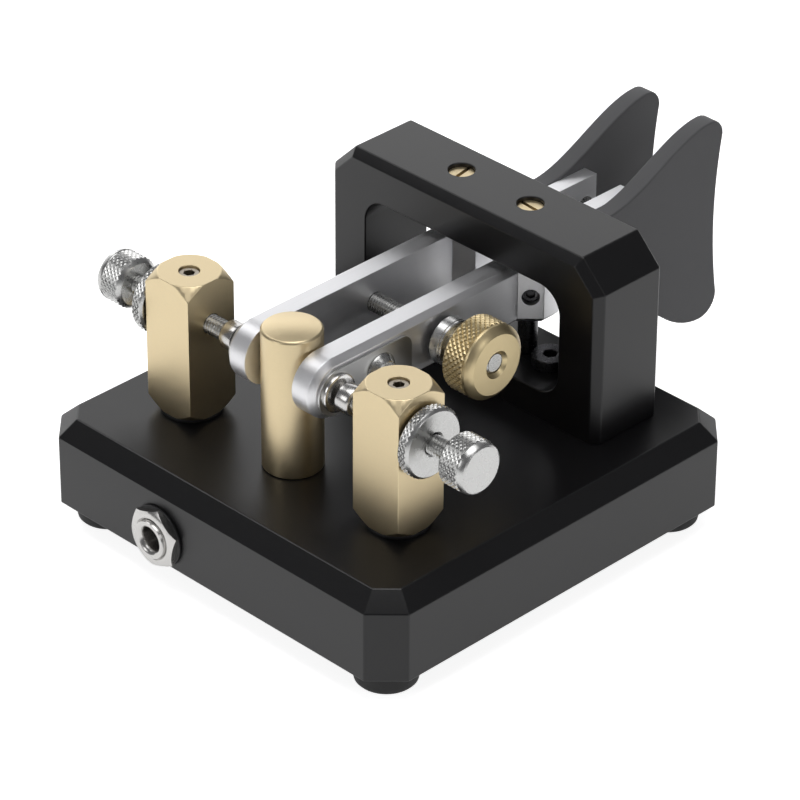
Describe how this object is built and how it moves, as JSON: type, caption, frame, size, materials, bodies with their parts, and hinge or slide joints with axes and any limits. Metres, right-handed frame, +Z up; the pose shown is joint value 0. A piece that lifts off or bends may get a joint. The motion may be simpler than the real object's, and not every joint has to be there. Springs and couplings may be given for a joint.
{
  "type": "paddle telegraph key",
  "caption": "Twin lever paddle telegraph key on a chamfered block, with cone pivots in an upright yoke, contact screws, a tension knob and a jack.",
  "frame": {"origin": "middle of the square base, at the plane under the rubber feet", "axes": "+Z up, +Y from the paddles towards the contact posts and the jack's face, +X towards the operator's right"},
  "size_m": [0.0746, 0.1006, 0.047],
  "materials": {
    "black_anodised": "satin black anodised aluminium, fine bead blast",
    "foot_rubber": "matt black rubber",
    "pivot_brass": "turned brass",
    "lever_metal": "bright brushed aluminium",
    "contact_plate": "brushed stainless steel",
    "black_steel": "blackened steel",
    "silver": "polished silver contact",
    "paddle": "dark grey matt board with a fine grain",
    "post_brass": "pale satin brass",
    "knob_brass": "pale satin brass, diamond knurl",
    "black_plastic": "black moulded plastic",
    "nickel": "nickel plated",
    "tinned": "tinned brass",
    "wire_cover": "red wire insulation",
    "spring_steel": "spring wire",
    "steel": "stainless steel, cut thread and knurl"
  },
  "bodies": {
    "frame": {"base_block": "black_anodised", "rubber_feet": "foot_rubber", "yoke": "black_anodised", "yoke_screws": "black_steel", "left_top_pivot": "pivot_brass", "right_top_pivot": "pivot_brass", "left_bottom_pivot": "black_steel", "right_bottom_pivot": "black_steel", "left_post": "post_brass", "right_post": "post_brass", "centre_post": "post_brass", "post_insulators": "black_plastic", "post_bushes": "black_plastic", "post_screws": "steel", "solder_lugs": "tinned", "left_set_screw": "steel", "right_set_screw": "steel", "jack_body": "black_plastic", "jack_sleeve": "nickel", "jack_nut": "nickel", "jack_washer": "black_plastic", "jack_terminals": "tinned", "wires": "wire_cover"},
    "left_arm": {"left_lever": "lever_metal", "left_lever_grub": "steel", "left_contact_plate": "contact_plate", "left_contact_disc": "silver", "left_plate_screw": "steel", "left_paddle": "paddle", "left_paddle_screws": "steel"},
    "right_arm": {"right_lever": "lever_metal", "right_lever_grub": "steel", "right_contact_plate": "contact_plate", "right_contact_disc": "silver", "right_plate_screw": "steel", "right_paddle": "paddle", "right_paddle_screws": "steel", "tension_rod": "steel"},
    "left_tip": {"left_contact_tip": "silver"},
    "right_tip": {"right_contact_tip": "silver"},
    "left_screw": {"left_contact_screw": "steel", "left_contact_collar": "steel"},
    "right_screw": {"right_contact_screw": "steel", "right_contact_collar": "steel"},
    "left_lock": {"left_lock_nut": "steel"},
    "right_lock": {"right_lock_nut": "steel"},
    "cup": {"spring_cup": "steel", "tension_spring": "spring_steel"},
    "knob": {"tension_knob": "knob_brass"}
  },
  "joints": [
    {"name": "left_arm_swing", "type": "hinge", "parent": "frame", "child": "left_arm", "pos_m": [-0.00695, -0.02175, 0.03375], "axis": [0, 0, 1], "range_deg": [0, 0.9], "stiffness_Nm_per_rad": 0.3, "springref_deg": -1.15, "deforming": ["tension_spring"]},
    {"name": "right_arm_swing", "type": "hinge", "parent": "frame", "child": "right_arm", "pos_m": [0.00695, -0.02175, 0.03375], "axis": [0, 0, -1], "range_deg": [0, 0.9], "stiffness_Nm_per_rad": 0.3, "springref_deg": -1.15},
    {"name": "left_screw_travel", "type": "slide", "parent": "frame", "child": "left_tip", "axis": [-1, 0, 0], "range_m": [0, 0.003]},
    {"name": "left_screw_turn", "type": "hinge", "parent": "left_tip", "child": "left_screw", "pos_m": [-0.02125, 0.0191, 0.03375], "axis": [1, 0, 0], "range_deg": [0, 2161]},
    {"name": "left_lock_turn", "type": "hinge", "parent": "frame", "child": "left_lock", "pos_m": [-0.0271, 0.0191, 0.03375], "axis": [1, 0, 0], "range_deg": [0, 180]},
    {"name": "right_screw_travel", "type": "slide", "parent": "frame", "child": "right_tip", "axis": [1, 0, 0], "range_m": [0, 0.003]},
    {"name": "right_screw_turn", "type": "hinge", "parent": "right_tip", "child": "right_screw", "pos_m": [0.02125, 0.0191, 0.03375], "axis": [-1, 0, 0], "range_deg": [0, 2161]},
    {"name": "right_lock_turn", "type": "hinge", "parent": "frame", "child": "right_lock", "pos_m": [0.0271, 0.0191, 0.03375], "axis": [-1, 0, 0], "range_deg": [0, 180]},
    {"name": "cup_travel", "type": "slide", "parent": "right_arm", "child": "cup", "axis": [-1, 0, 0], "range_m": [0, 0.002], "deforming": ["tension_spring"]},
    {"name": "knob_turn", "type": "hinge", "parent": "cup", "child": "knob", "pos_m": [-0.017, -0.002, 0.03375], "axis": [1, 0, 0], "range_deg": [0, 1441]}
  ],
  "couplings": [
    {"joint": "left_screw_turn", "follows": "left_screw_travel", "rad_per_m": 12566},
    {"joint": "right_screw_turn", "follows": "right_screw_travel", "rad_per_m": 12566},
    {"joint": "knob_turn", "follows": "cup_travel", "rad_per_m": 12566}
  ]
}
